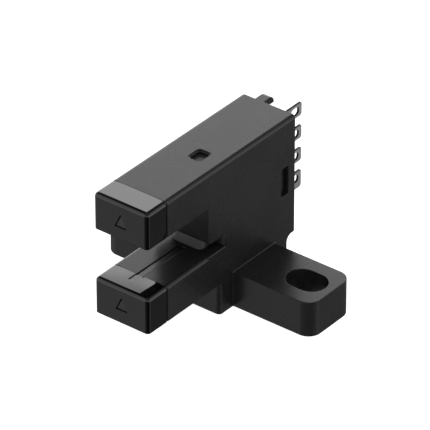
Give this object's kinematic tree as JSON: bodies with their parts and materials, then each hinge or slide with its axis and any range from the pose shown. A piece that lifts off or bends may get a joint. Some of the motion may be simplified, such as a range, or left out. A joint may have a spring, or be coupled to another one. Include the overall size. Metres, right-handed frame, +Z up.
{
  "type": "fork sensor",
  "caption": "Fork-shaped slot sensor with two stacked arms, glossy tip caps, slotted mounting ears at the foot and flat eyed solder terminals at the back",
  "frame": {"origin": "on the mounting face, midway between the two mounting slots", "axes": "X across the body through both mounting slots, Y from the fork tips to the terminals, Z up from the mounting face"},
  "size_m": [0.025, 0.0274, 0.0167],
  "materials": {
    "case_plastic": "fine spark-eroded black moulding",
    "cap_plastic": "polished black infrared-passing plastic",
    "pane_plastic": "smoked pane",
    "base_plastic": "matte black moulding",
    "terminal_metal": "tinned and pressed sheet",
    "board_laminate": "green solder resist",
    "optic_resin": "dark clear moulding resin",
    "lead_metal": "tinned lead frame",
    "led_resin": "clear resin on white",
    "chip_resin": "moulding compound",
    "resistor_body": "glazed film chip",
    "capacitor_body": "fired ceramic chip"
  },
  "bodies": {
    "root": {"housing": "case_plastic", "upper_tip_cap": "cap_plastic", "lower_tip_cap": "cap_plastic", "indicator_pane": "pane_plastic", "terminal_base": "base_plastic", "terminal_1": "terminal_metal", "terminal_2": "terminal_metal", "terminal_3": "terminal_metal", "terminal_4": "terminal_metal", "circuit_board": "board_laminate", "emitter": "optic_resin", "emitter_anode_lead": "lead_metal", "emitter_cathode_lead": "lead_metal", "receiver": "optic_resin", "receiver_collector_lead": "lead_metal", "receiver_emitter_lead": "lead_metal", "indicator_led": "led_resin", "amplifier_chip": "chip_resin", "output_transistor": "chip_resin", "reverse_diode": "chip_resin", "led_resistor": "resistor_body", "emitter_resistor": "resistor_body", "pull_up_resistor": "resistor_body", "supply_capacitor": "capacitor_body"}
  },
  "joints": []
}
